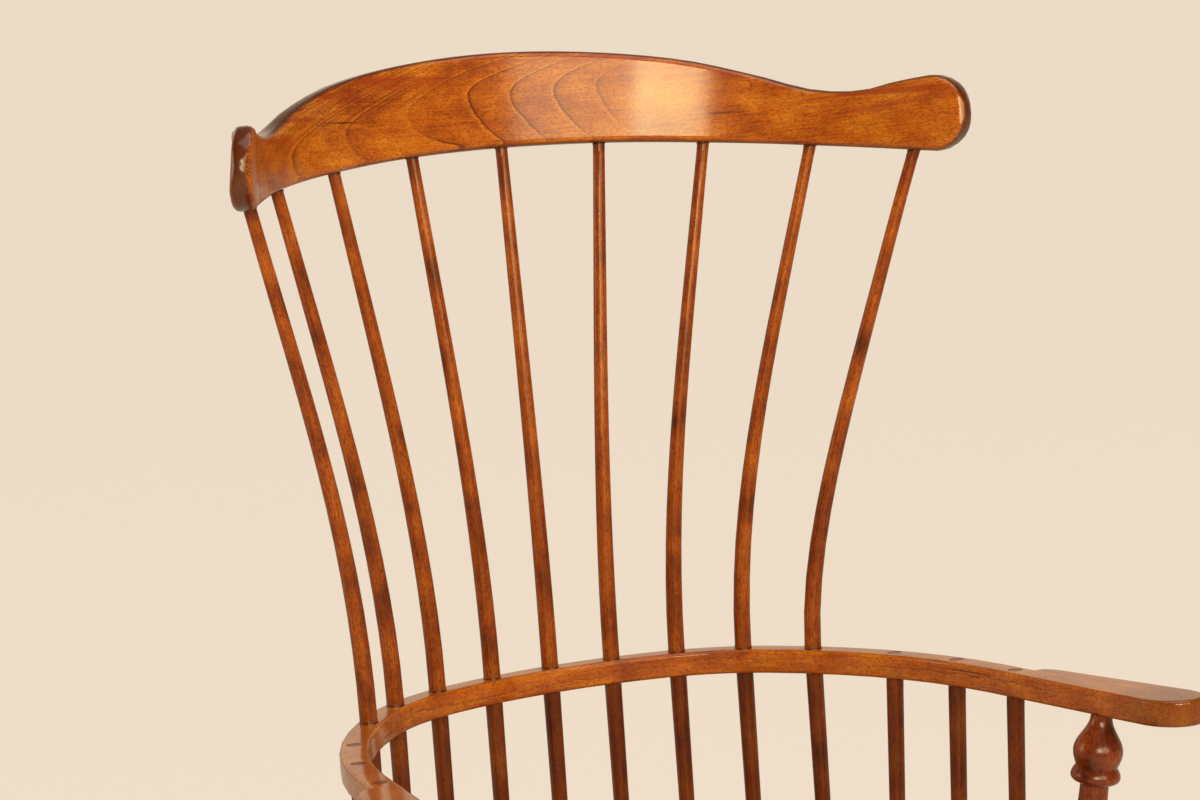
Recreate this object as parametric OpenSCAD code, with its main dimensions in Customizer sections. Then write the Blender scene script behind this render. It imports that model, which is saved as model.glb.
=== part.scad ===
// High back (comb back) Windsor armchair.
// A raked U-shaped arm rail and a saddled seat lie in parallel planes. Nine long spindles stand
// square to both, run through the arm rail and are bent back and outwards into a curved crest.
// Frame: millimetres, +Z up, the sitter faces -Y, origin on the floor below the middle of the chair.

/* [Overall] */
// Height of the arm rail's top face above the floor, at the middle of the back
arm_height = 640; // [600:1:690]
// Rise of the arm rail and the seat towards the front, in degrees
rake = 4.8; // [3:0.1:6]
// Distance from the origin back to the middle spindle, at the arm rail
back_y = 204; // [195:0.1:215]
// Drop from the arm rail's top face to the seat's top face
seat_drop = 231; // [210:1:250]

/* [Arm rail] */
// Width of the bent rail, seen from above
rail_w = 22.5; // [20:0.5:28]
// Thickness of the rail and of the hands
rail_t = 20.5; // [18:0.5:25]
// Rounding of the rail's long edges
rail_round = 3; // [2:0.5:5]
// Radius of the rail's centreline across the back
back_r = 353; // [330:1:380]
// Angle that the back bend turns through, on each side of the middle
back_turn = 16.4; // [12:0.2:20]
// Radius of the tighter bend at each back corner
corner_r = 174; // [160:1:190]
// Angle that the corner bend turns through
corner_turn = 31.4; // [28:0.2:34]
// Radius of the long easy bend at each side
side_r = 370; // [340:1:400]
// Angle that the side bend turns through
side_turn = 36.2; // [33:0.2:38]
// Distance along the rail from the middle of the back to the start of the hand
hand_at = 463.5; // [458:0.5:480]

/* [Hands] */
// Length of the hand, from its shoulder to the tip of its nose
hand_len = 182; // [150:1:200]
// Width that the hand's block adds to the rail just past its shoulder
hand_step = 14.5; // [8:0.5:18]
// Width that the block adds where the nose begins
hand_flare = 27; // [20:0.5:32]
// Length of the rounded shoulder
shoulder_len = 27; // [15:1:35]
// Length of the nose on the block's side
nose_len = 30; // [20:1:40]
// Length of the nose's slower sweep on the sitter's side
nose_sweep = 34; // [25:1:55]

/* [Crest rail] */
// Rise of the crest above the arm rail at the middle, from the arm's top face
crest_rise = 440.5; // [410:1:470]
// Distance that the crest's middle stands behind the arm rail's middle
crest_back = 58.5; // [45:0.5:75]
// Backward tilt of the crest, in degrees
crest_tilt = 8.3; // [5:0.1:11]
// Thickness of the crest
crest_t = 19; // [16:0.5:24]
// Radius of the crest's front face across its middle
crest_r = 339; // [315:1:365]
// Length of that bend, on each side of the middle
crest_bend = 170; // [150:1:185]
// Radius of the tighter bends towards the ears
crest_end_r = 254; // [235:1:280]
// Length of the tighter bend
crest_end_bend = 140; // [120:1:150]
// Length of the crest's front face from its middle to an ear's tip
crest_half = 410.5; // [400:0.5:425]
// Height of the crest at its middle
crest_h = 80; // [70:1:90]
// Drop of the crest's bottom edge at the middle of the ear
bottom_drop = 39.5; // [30:0.5:46]
// Height of the ear
ear_h = 63; // [54:1:70]
// Height of the narrow waist beside the ear
waist_h = 48; // [40:0.5:54]
// Distance along the crest from its middle to the waist
waist_at = 312; // [300:1:325]
// Rounding of the crest's long edges
crest_round = 5.5; // [3:0.5:8]
// Rounding of the ear's end, seen from above
ear_round = 9; // [4:0.5:9]

/* [Long spindles] */
// Places of the four outer long spindles along the arm rail, from the middle one
long_at = [56.5, 114.5, 172.5, 236]; // [50:0.5:260]
// Places of the four outer long spindles along the crest's front face
crest_at = [85, 172, 261, 356]; // [70:0.5:370]
// Diameter of a long spindle where it passes through the arm rail
long_d = 14.6; // [12:0.1:17]
// Diameter of a long spindle midway to the crest
long_mid_d = 12.4; // [11:0.1:14]
// Diameter of a long spindle where it enters the crest
long_top_d = 10.2; // [8:0.1:11]
// Diameter of a long spindle just above the seat
long_foot_d = 12.6; // [10:0.1:14]
// Share of the way from arm to crest over which the spindle is bent
bend_share = 0.78; // [0.6:0.02:1]
// Bow of the outermost long spindles towards the sitter, midway to the crest
outer_bow = 7; // [0:0.5:12]
// Bow of the outermost long spindles away from the middle
outer_spread = 1; // [0:0.5:3]

/* [Short spindles] */
// Places of the three short spindles along each side of the arm rail
short_at = [315, 381.5, 452.5]; // [290:0.5:458]
// Diameter of a short spindle below the arm rail
short_d = 14.4; // [12:0.1:17]
// Diameter of its tenon, which shows through the arm rail's top face
short_tenon_d = 12.2; // [9:0.1:13]
// Outward lean of the short spindles, in degrees
short_lean = 2.7; // [0:0.1:5]

/* [Arm posts] */
// Place of the arm post along the hand from its shoulder, as a share of the hand's length
post_share = 0.53; // [0.42:0.01:0.58]
// Outward lean of the post, in degrees
post_splay = 6.9; // [3:0.1:9]
// Forward lean of the post against the seat's own plane, in degrees
post_lean = 5.6; // [2:0.1:8]
// Diameter of the post's tenon in the hand
post_tenon_d = 12.7; // [9:0.1:14]
// Diameter of the post's neck below the hand
post_neck_d = 17; // [15:0.1:20]
// Diameter of the pear-shaped bulb
bulb_d = 38.8; // [34:0.1:42]
// Diameter of the crease between the bulb and the ring
post_crease_d = 32.4; // [28:0.1:33]
// Diameter of the ring below the bulb
post_ring_d = 39; // [34:0.1:42]
// Diameter of the hollow below the ring
post_cove_d = 22.4; // [19:0.1:26]
// Diameter of the long vase
post_vase_d = 34; // [28:0.1:38]
// Diameter of the slim ankle below the vase
post_ankle_d = 18; // [15:0.1:21]
// Diameter of the post's tenon in the seat
post_foot_d = 19; // [16:0.5:22]

/* [Seat] */
// Thickness of the seat plank
seat_t = 44; // [38:1:52]
// Distance from the spindles' feet to the seat's edge
seat_edge = 34; // [28:1:40]
// Distance from the arm posts' feet to the seat's front edge
seat_front = 53; // [45:1:80]
// Place of the seat's widest line, as a share of its depth from the front
seat_wide = 0.21; // [0.15:0.01:0.4]
// Depth of the two hollows that the sitter's thighs rest in
dish_depth = 13; // [6:0.5:17]
// Height of the ridge between the hollows at the front edge
pommel = 9; // [3:0.5:12]
// Width of the flat deck that carries the spindles, outside the gutter
deck_w = 58; // [50:1:66]
// Rounding of the seat's upper edge
seat_round = 6; // [3:0.5:9]
// Width of the chamfer under the seat's edge
seat_chamfer = 26; // [15:1:32]
// Depth of the gutter line between the deck and the hollows
gutter_depth = 2.5; // [1:0.5:4]

/* [Legs] */
// Largest diameter of the leg's upper vase
leg_vase_d = 42; // [36:0.5:46]
// Diameter of the leg's ring
leg_ring_d = 40; // [34:0.5:44]
// Largest diameter of the leg's lower, stretcher-bearing swell
leg_swell_d = 36; // [31:0.5:40]
// Diameter of the slim places above the leg's ring and above its swell
leg_neck_d = 24.5; // [20:0.5:27]
// Diameter of the leg's collar and of the fillets beside its ring
leg_collar_d = 29; // [27:0.5:31]
// Diameter of the leg at the floor
leg_foot_d = 21; // [18:0.5:26]
// Diameter of the leg's tenon in the seat
leg_tenon_d = 24; // [20:0.5:27]
// Depth of the leg's socket in the seat
leg_socket = 29; // [24:0.5:31]
// Distance of the front legs from the middle, at the seat's underside
front_leg_x = 187; // [160:1:210]
// Distance of the back legs from the middle, at the seat's underside
back_leg_x = 140; // [120:1:170]
// Distance of the front legs behind the seat's front edge
front_leg_in = 90; // [75:1:115]
// Distance of the back legs in front of the seat's back edge
back_leg_in = 112; // [95:1:135]
// Sideways splay of the front legs, in degrees
front_splay = 10; // [6:0.5:13]
// Forward splay of the front legs, in degrees
front_rake = 7; // [3:0.5:11]
// Sideways splay of the back legs, in degrees
back_splay = 10; // [6:0.5:13]
// Backward splay of the back legs, in degrees
back_rake = 14; // [9:0.5:18]

/* [Stretchers] */
// Height of the side stretchers above the floor at the front legs
stretcher_front_z = 165; // [150:1:185]
// Height of the side stretchers above the floor at the back legs
stretcher_back_z = 140; // [125:1:160]
// Largest diameter of the stretchers' swell
stretcher_d = 30; // [26:0.5:34]
// Diameter of the stretchers' ends
stretcher_end_d = 16; // [14:0.5:19]
// Diameter of the stretchers' tenons
stretcher_tenon_d = 13; // [10:0.5:13.5]
// Depth of the stretchers' tenons
stretcher_tenon = 18; // [12:0.5:21]
// Distance of the medial stretcher's two beads from its middle
medial_bead_at = 42; // [30:1:60]
// Width of those beads
medial_bead_w = 10; // [6:1:14]
// Diameter of the medial stretcher beside the beads
medial_neck_d = 19; // [16:0.5:20]

/* [Fits] */
// Glue line round each tenon and between glued faces
glue = 0.05; // [0.02:0.01:0.1]
// Depth of the spindles' sockets in the seat
seat_socket = 26; // [18:1:28]
// Depth of the long spindles' sockets in the crest
crest_socket = 28; // [20:1:32]
// Depth of the arm posts' sockets in the hands
hand_socket = 14; // [10:0.5:15]
// Depth of a socket left empty beyond its tenon
socket_end = 1; // [0.5:0.1:2]

/* [Hidden] */
$fn = 64;

stain = "#a9591f";
dark_stain = "#7c3a14";
edge_steps = 3;      // facets in a rounded edge's quarter circle
spindle_sides = 16;  // sides of a bent spindle
spindle_rings = 14;  // rings along a bent spindle
seam_turn = 50;      // turn of a round piece about its own axis, in degrees
tiny = 0.1;          // step that keeps a shaft's seat clear of the bent stretch beside it
collar = 3;          // length of straight shaft left showing above the arm rail
lap = 1;             // length by which a spindle's turned ends run into its bent stretch
seat_gap = 1.5;      // bare tenon between a leaning shaft's shoulder and its seat
bead_rise = 4;       // height of a small bead above the shaft beside it
far = 1000;          // larger than the chair

// Small vector helpers
function unit(v) = v / norm(v);
function flip(p, side) = [side * p[0], p[1], p[2]];
function blend(a, b, t) = a + (b - a) * t;

// Point and heading [x, y, heading] on a path of bends [radius, angle] that starts at the origin
// heading along +X, turns towards -Y and runs on straight after the last bend
function walk(bends, s, i = 0, x = 0, y = 0, h = 0) =
    i == len(bends) ? [x + s * cos(h), y - s * sin(h), h]
    : let (r = bends[i][0], turn = bends[i][1], run = r * turn * PI / 180,
           h2 = h + (s < run ? s / r * 180 / PI : turn),
           x2 = x + r * (sin(h2) - sin(h)), y2 = y - r * (cos(h) - cos(h2)))
      s < run ? [x2, y2, h2] : walk(bends, s - run, i + 1, x2, y2, h2);

// Smooth curve through [station, value] points, read at station s
function slope(pts, i) =
    i == 0 ? 0
    : i == len(pts) - 1 ? (pts[i][1] - pts[i - 1][1]) / (pts[i][0] - pts[i - 1][0])
    : (pts[i + 1][1] - pts[i - 1][1]) / (pts[i + 1][0] - pts[i - 1][0]);
function curve(pts, s, i = 0) =
    s > pts[i + 1][0] && i < len(pts) - 2 ? curve(pts, s, i + 1)
    : let (w = pts[i + 1][0] - pts[i][0], t = (s - pts[i][0]) / w)
      pts[i][1] * (1 + 2 * t) * (1 - t) * (1 - t) + pts[i + 1][1] * t * t * (3 - 2 * t)
      + w * (slope(pts, i) * t * (1 - t) * (1 - t) - slope(pts, i + 1) * t * t * (1 - t));

// Solid through rings of points, each turning to the left about the way the rings follow on. A ring
// that runs out along one side of a bent board and back along the other is closed by strips.
module loft(rings, strips = false) {
    n = len(rings[0]);
    m = len(rings);
    quads = [
        for (j = [0 : m - 2], i = [0 : n - 1], half = [0, 1])
            let (a = j * n + i, b = j * n + (i + 1) % n, c = b + n, d = a + n)
                half == 0 ? [a, c, b] : [a, d, c]
    ];
    end = strips
        ? [for (i = [0 : n / 2 - 2]) [i, i + 1, n - 2 - i, n - 1 - i]]
        : [[for (i = [0 : n - 1]) i]];
    other_end = [for (face = end) [for (i = [len(face) - 1 : -1 : 0]) (m - 1) * n + face[i]]];
    polyhedron([for (ring = rings, p = ring) p], concat(quads, end, other_end));
}

// Turn a piece made along +Z so that it starts at p and runs along direction d. Its own seam is
// turned aside, so that it never meets a face at the steepest point of the cut.
module aim(p, d) {
    u = unit(d);
    translate(p) rotate([0, acos(u[2]), atan2(u[1], u[0])]) rotate(seam_turn) children();
}

// Closed outline moved inwards by d, with mitred corners
function inset(outline, d) = [
    for (i = [0 : len(outline) - 1])
        let (n = len(outline), p = outline[i],
             before = unit(p - outline[(i + n - 1) % n]), after = unit(outline[(i + 1) % n] - p),
             n1 = [-before[1], before[0]], n2 = [-after[1], after[0]])
            p + d * (n1 + n2) / (1 + n1 * n2)
];

// Steps [inset, height] from the underside to the top face of a board with rounded edges
function board_steps(t, r) = concat(
    [for (i = [0 : edge_steps]) let (a = 90 * i / edge_steps) [r * (1 - sin(a)), -t + r * (1 - cos(a))]],
    [for (i = [0 : edge_steps]) let (a = 90 * i / edge_steps) [r * (1 - cos(a)), -r * (1 - sin(a))]]
);

// Section of width w and height t with rounded corners, centred on [cx, cy]
function rounded_section(cx, cy, w, t, r) = [
    for (q = [0 : 3], i = [0 : edge_steps])
        let (a = 90 * q + 90 * i / edge_steps,
             sx = (q == 0 || q == 3) ? 1 : -1, sy = q < 2 ? 1 : -1)
            [cx + sx * (w / 2 - r) + r * cos(a), cy + sy * (t / 2 - r) + r * sin(a)]
];

// Turned profile stretches of [radius, height] points, each without its last point
function ease(r1, r2, z1, z2, n = 6) = [
    for (i = [0 : n - 1]) let (t = i / n) [blend(r1, r2, (1 - cos(180 * t)) / 2), blend(z1, z2, t)]
];
function bead(r, rise, z1, z2, n = 8) = [
    for (i = [0 : n - 1]) let (a = 180 * i / n) [r + rise * sin(a), blend(z1, z2, (1 - cos(a)) / 2)]
];
function round_off(r1, r2, z1, z2, n) = [
    for (i = [0 : n - 1]) let (a = 90 * i / n) [blend(r1, r2, 1 - cos(a)), blend(z1, z2, i / n)]
];
function round_up(r1, r2, z1, z2, n) = [
    for (i = [0 : n - 1]) let (a = 90 * i / n) [blend(r1, r2, sin(a)), blend(z1, z2, i / n)]
];
function quarter(r1, r2, z1, z2, n) = [
    for (i = [0 : n - 1]) let (a = 90 * i / n) [blend(r1, r2, 1 - cos(a)), blend(z1, z2, sin(a))]
];
module turned(profile) {
    z1 = profile[0][1];
    z2 = profile[len(profile) - 1][1];
    rotate_extrude() polygon(concat([[0, z1]], profile, [[0, z2]]));
}

// The raked frame: origin at the middle spindle on the arm rail's top face, +Z square to the rail
module raked() {
    translate([0, back_y, arm_height]) rotate([-rake, 0, 0]) children();
}
function from_raked(p) = [
    p[0], back_y + p[1] * cos(rake) + p[2] * sin(rake), arm_height - p[1] * sin(rake) + p[2] * cos(rake)
];

// Arm rail path, in the raked frame
arm_bends = [[back_r, back_turn], [corner_r, corner_turn], [side_r, side_turn]];
function arm_at(s) = walk(arm_bends, s);
side_heading = back_turn + corner_turn + side_turn;
bends_len = PI / 180 * (back_r * back_turn + corner_r * corner_turn + side_r * side_turn);
post_s = hand_at + post_share * hand_len;

// Hand frame: origin on the rail's outer edge at the shoulder, u forwards, w outwards
hand_origin = arm_at(hand_at);
function hand_point(u, w) = [
    hand_origin[0] + u * cos(side_heading) + (w + rail_w / 2) * sin(side_heading),
    hand_origin[1] - u * sin(side_heading) + (w + rail_w / 2) * cos(side_heading)
];
nose_w = 3;          // how far out from the glue line the nose's tip is
nose_full = 0.85;    // fullness of the block's side of the nose: 1 is an ellipse, less is squarer
lead = 12;           // length of rail kept behind the shoulder while the hand is shaped
block_end = hand_len - nose_len;
block_line = concat(
    [for (a = [15 : 15 : 90]) [shoulder_len * (1 - cos(a)), hand_step * sin(a)]],
    [for (a = [0 : 12 : 84])
        [block_end + nose_len * pow(sin(a), nose_full),
         nose_w + (hand_flare - nose_w) * pow(cos(a), nose_full)]],
    [[hand_len, nose_w]]
);
nose_line = [for (a = [12 : 12 : 84])
    [hand_len - nose_sweep * (1 - cos(a)), nose_w - (rail_w + nose_w) * sin(a)]];
hand_outline = concat(
    [[-lead, 0], [0, 0]], block_line, nose_line,
    [[hand_len - nose_sweep, -rail_w], [-lead, -rail_w]]
);
shoulder_i = 1;
tip_i = shoulder_i + len(block_line);
sweep_i = tip_i + len(nose_line) + 1;
// Place where the hand's outline, moved inwards by d, crosses the line at w between two corners
function cut_at(p, q, w) = p + (q - p) * (w - p[1]) / (q[1] - p[1]);

// Long spindles: side is -1, 0 or 1 and i is the place from the middle
function long_s(i) = i == 0 ? 0 : long_at[i - 1];
function crest_s(i) = i == 0 ? 0 : crest_at[i - 1];
function long_foot(i, side) = let (p = arm_at(long_s(i))) [side * p[0], p[1], 0];

// Crest frame: origin at the middle of the bottom edge, at half thickness
crest_bends = [[crest_r, crest_bend / crest_r * 180 / PI],
    [crest_end_r, crest_end_bend / crest_end_r * 180 / PI]];
function crest_path(s, off) =
    let (p = walk(crest_bends, s)) [p[0] + off * sin(p[2]), p[1] + off * cos(p[2])];
ear_r = ear_h / 2;
ear_at = crest_half - ear_r;
bottom_line = [[0, 0], [0.25 * ear_at, -0.085 * bottom_drop], [0.5 * ear_at, -0.33 * bottom_drop],
    [0.75 * ear_at, -0.66 * bottom_drop], [ear_at, -bottom_drop]];
function bottom_at(s) = curve(bottom_line, s);
waist_top = bottom_at(waist_at) + waist_h;
ear_top = ear_h - bottom_drop;
fall = crest_h - waist_top;
top_line = [[0, crest_h], [0.256 * waist_at, crest_h - 0.078 * fall],
    [0.513 * waist_at, crest_h - 0.303 * fall], [0.705 * waist_at, crest_h - 0.617 * fall],
    [0.856 * waist_at, crest_h - 0.903 * fall], [waist_at, waist_top],
    [ear_at - ear_r, ear_top - 0.05 * ear_r], [ear_at, ear_top]];
function top_at(s) = curve(top_line, s);
module in_crest() {
    translate([0, back_y + crest_back, arm_height + crest_rise]) rotate([-crest_tilt, 0, 0]) children();
}
function from_crest(p) = [
    p[0], back_y + crest_back + p[1] * cos(crest_tilt) + p[2] * sin(crest_tilt),
    arm_height + crest_rise - p[1] * sin(crest_tilt) + p[2] * cos(crest_tilt)
];
function crest_mouth(i, side) =
    let (s = crest_s(i), q = crest_path(s, crest_t / 2))
        flip(from_crest([q[0], q[1] - crest_t / 2, bottom_at(s)]), side);

// Centreline of a long spindle above the arm rail, t from 0 at the arm to 1 at the crest: it leaves
// the rail square to it, its slope grows over bend_share of the way, and it runs on straight. The
// outermost ones are bowed as well, so that they carry the ears forwards.
function lift(t) =
    let (b = bend_share, all = 1 - b / 3)
        (t < b ? t * t / b - t * t * t / (3 * b * b) : t - b / 3) / all;
function long_point(i, side, t) =
    let (a = from_raked(long_foot(i, side)), top = crest_mouth(i, side),
         up = [0, tan(rake), 1] * (top[2] - a[2]),
         bow = i == len(long_at) ? 16 * pow(t * (1 - t), 2) : 0)
        a + up * t + (top - a - up) * lift(t) + bow * [side * outer_spread, -outer_bow, 0];
function long_dir(i, side, t) = unit(long_point(i, side, t + 0.005) - long_point(i, side, t - 0.005));
long_len = crest_rise;
t_low = (collar - lap) / long_len;
t_high = 1 - 2 * collar / long_len;

// The crest's section at s: its height falls to a half circle at the ear, whose end is rounded
// in thickness too
function ear_share(s) = s <= ear_at ? 1 : sqrt(max(0, 1 - pow((s - ear_at) / ear_r, 2)));
tip_r = min(ear_round, 0.48 * crest_t);
function end_thin(s) = let (e = max(0, s - crest_half + tip_r)) tip_r - sqrt(tip_r * tip_r - e * e);
function crest_ring(s, side) =
    let (low = bottom_at(min(s, ear_at)), high = top_at(min(s, ear_at)), mid = (low + high) / 2,
         h = max((high - low) * ear_share(s), 2 * crest_round / 3), t = crest_t - 2 * end_thin(s),
         r = min(crest_round, 0.48 * h, 0.48 * t))
        [for (p = rounded_section(0, mid, t, h, r))
            let (q = crest_path(s, p[0] + crest_t / 2)) [side * q[0], q[1] - crest_t / 2, p[1]]];

module crest_rail() {
    straight = [for (i = [1 : 20]) i / 20 * ear_at];
    ear = [for (a = [15, 30, 44, 55, 64, 72, 79]) ear_at + ear_r * sin(a)];
    stations = concat(straight, ear);
    n = len(stations);
    color(stain)
    difference() {
        in_crest() loft(concat(
            [for (k = [n - 1 : -1 : 0]) crest_ring(stations[k], -1)],
            [crest_ring(0, 1)],
            [for (k = [0 : n - 1]) crest_ring(stations[k], 1)]
        ));
        for (i = [0 : 4], side = (i == 0 ? [1] : [-1, 1]))
            let (mouth = crest_mouth(i, side), d = long_dir(i, side, 1))
                aim(mouth - d * crest_socket / 2, d)
                    cylinder(d = long_top_d + 2 * glue, h = crest_socket * 1.5 + socket_end);
    }
}

module long_spindle(i, side) {
    foot = long_foot(i, side);
    rings = [
        for (k = [0 : spindle_rings])
            let (t = blend(t_low, t_high, k / spindle_rings), c = long_point(i, side, t),
                 d = long_dir(i, side, t), x = unit(cross([0, 1, 0], d)), y = cross(d, x),
                 r = curve([[0, long_d / 2], [0.5, long_mid_d / 2], [1, long_top_d / 2]], t) - tiny)
                [for (j = [0 : spindle_sides - 1])
                    let (a = 360 * j / spindle_sides) c + r * (x * cos(a) + y * sin(a))]
    ];
    color(stain)
    union() {
        raked() translate(foot) turned([
            [long_foot_d / 2, -seat_drop - seat_socket],
            [long_foot_d / 2, -seat_drop],
            [long_d / 2, -rail_t - collar],
            [long_d / 2, collar]
        ]);
        loft(rings);
        aim(long_point(i, side, t_high - lap / long_len), long_dir(i, side, 1))
            cylinder(d = long_top_d, h = 2 * collar + lap + crest_socket);
    }
}

// Short spindles lean outwards going up, and stand square to the rail seen from the side. Their
// tenons show in the arm rail's top face, a hair below it.
tenon_dip = 0.3;
function short_lean_dir(side) = [side * tan(short_lean), 0, 1];
function short_top(i, side) = let (p = arm_at(short_at[i])) [side * p[0], p[1], 0];

module short_spindle(i, side) {
    d = short_lean_dir(side);
    under = (rail_t + seat_gap) * norm(d);
    down = seat_drop * norm(d);
    color(stain)
    raked() difference() {
        aim(short_top(i, side), -d) turned([
            [short_tenon_d / 2, -collar],
            [short_tenon_d / 2, under],
            [short_d / 2, under + collar],
            [long_foot_d / 2, down],
            [long_foot_d / 2, down + seat_socket]
        ]);
        translate([-far / 2, -far / 2, -tenon_dip]) cube([far, far, far / 10]);
    }
}

function post_dir(side) = [side * tan(post_splay), -tan(post_lean), 1];
function post_top(side) = let (p = arm_at(post_s)) [side * p[0], p[1], 0];
function at_seat(top, d) = top - d * seat_drop;

// Where a post's turnings lie down its bare length, as shares of it: the neck's end, the bulb's
// widest place, the crease, the ring's widest place, the start and end of the hollow below it, the
// vase's widest place, the ankle, the end of the ankle's bead and the foot
post_cuts = [0.01, 0.139, 0.195, 0.233, 0.259, 0.28, 0.605, 0.84, 0.88, 0.97];

module arm_post(side) {
    d = post_dir(side);
    k = norm(d);
    long = seat_drop * k;
    under = rail_t * k;
    at = [for (share = post_cuts) blend(under, long, share)];
    neck_r = post_neck_d / 2;
    bulb_r = bulb_d / 2;
    crease_r = post_crease_d / 2;
    ring_r = post_ring_d / 2;
    cove_r = post_cove_d / 2;
    vase_r = post_vase_d / 2;
    ankle_r = post_ankle_d / 2;
    foot_r = post_foot_d / 2;
    profile = concat(
        [[neck_r, under - neck_r]],
        ease(neck_r, bulb_r, at[0], at[1], 9),
        round_off(bulb_r, crease_r, at[1], at[2], 5),
        round_up(crease_r, ring_r, at[2], at[3], 5),
        quarter(ring_r, cove_r, at[3], at[4], 6),
        [[cove_r, at[4]]],
        ease(cove_r, vase_r, at[5], at[6], 8),
        ease(vase_r, ankle_r, at[6], at[7], 8),
        bead(ankle_r, bead_rise, at[7], at[8], 6),
        ease(ankle_r, foot_r, at[8], at[9], 4),
        [[foot_r, at[9]], [foot_r, long + seat_socket]]
    );
    color(stain)
    raked() union() {
        difference() {
            aim(post_top(side), -d) turned(profile);
            translate([-far / 2, -far / 2, -rail_t - glue]) cube([far, far, far / 10]);
        }
        aim(post_top(side) - d * (rail_t - hand_socket), -d)
            cylinder(d = post_tenon_d, h = hand_socket * k + neck_r);
    }
}

// Plan of the seat, in the raked frame, from the feet that stand on it
post_foot = at_seat(post_top(1), post_dir(1));
seat_half = post_foot[0] + seat_edge;
seat_back_y = seat_edge;
seat_front_y = post_foot[1] - seat_front;
seat_mid_y = blend(seat_front_y, seat_back_y, seat_wide);
back_shape = 2.25;   // squareness of the seat's back half: 2 is an ellipse, more is squarer
front_shape = 3.6;   // squareness of its front half
function seat_radius(a, inner = 0) =
    let (x = seat_half - inner,
         y = (sin(a) > 0 ? seat_back_y - seat_mid_y : seat_mid_y - seat_front_y) - inner,
         n = sin(a) > 0 ? back_shape : front_shape)
        pow(pow(abs(cos(a)) / x, n) + pow(abs(sin(a)) / y, n), -1 / n);
seat_points = 64;
function seat_outline(inner) = [
    for (k = [0 : seat_points - 1]) let (a = 360 * k / seat_points, r = seat_radius(a, inner))
        [r * cos(a), seat_mid_y + r * sin(a)]
];
// Depth of the saddle below the deck's level, at share q of the way from the gutter to the middle:
// it reaches its full depth at share full_dish, and deepest at share thigh_at of the half width
full_dish = 0.45;
thigh_at = 0.42;
function dish(x, y, q) =
    let (front = max(0, (seat_mid_y - y) / (seat_mid_y - seat_front_y)),
         thigh = 0.5 + 0.5 * cos(min(180, abs(abs(x) / seat_half - thigh_at) / thigh_at * 180)),
         bowl = sin(90 * min(1, q / full_dish)))
        bowl * (dish_depth - front * (1 - thigh) * pommel);

// The plank: chamfered below, rounded at the rim, flat on the deck, and hollowed inside the gutter
module seat_board() {
    bottom = [for (p = seat_outline(seat_chamfer)) [p[0], p[1], -seat_t]];
    chamfer = [for (p = seat_outline(0)) [p[0], p[1], -seat_t + 0.6 * seat_chamfer]];
    rim = [
        for (i = [0 : edge_steps]) let (a = 90 * i / edge_steps)
            [for (p = seat_outline(seat_round * (1 - cos(a)))) [p[0], p[1], -seat_round * (1 - sin(a))]]
    ];
    deck = [for (p = seat_outline(deck_w - gutter_depth)) [p[0], p[1], 0]];
    hollow = [
        for (q = [0, 0.07, 0.16, 0.28, 0.42, 0.58, 0.75, 0.92])
            [for (p = seat_outline(deck_w)) let (x = p[0] * (1 - q), y = blend(p[1], seat_mid_y, q))
                [x, y, -gutter_depth - dish(x, y, q)]]
    ];
    loft(concat([bottom, chamfer], rim, [deck], hollow));
}

// Legs: where each meets the seat's underside, and which way it runs down
seat_under = -seat_drop - seat_t;
function leg_top(front, side) = [
    side * (front ? front_leg_x : back_leg_x),
    front ? seat_front_y + front_leg_in : seat_back_y - back_leg_in,
    seat_under
];
function leg_dir(front, side) = unit([
    side * tan(front ? front_splay : back_splay),
    front ? -tan(front_rake) : tan(back_rake),
    -1
]);
function leg_start(front, side) = from_raked(leg_top(front, side));
function leg_len(front, side) = leg_start(front, side)[2] / -leg_dir(front, side)[2];
function leg_point(front, side, z) =
    let (p = leg_start(front, side), d = leg_dir(front, side)) p + d * (p[2] - z) / -d[2];

module leg_socket_cut(front, side) {
    d = leg_dir(front, side);
    aim(leg_start(front, side) + d * leg_tenon_d, -d)
        cylinder(d = leg_tenon_d + 2 * glue, h = leg_tenon_d + leg_socket + socket_end);
}

// Where a side stretcher's axis meets the legs' axes
function stretcher_front(side) = leg_point(true, side, stretcher_front_z);
function stretcher_back(side) = leg_point(false, side, stretcher_back_z);

// Where a leg's turnings lie on the way from the seat to the stretcher, as shares of it: the bare
// end of the tenon, the collar and its bead's end, the vase's widest place and its slim end, the
// ring's fillet, the ring, its end and the slim place below it
leg_cuts = [0.038, 0.102, 0.145, 0.455, 0.605, 0.637, 0.69, 0.737];

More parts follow.
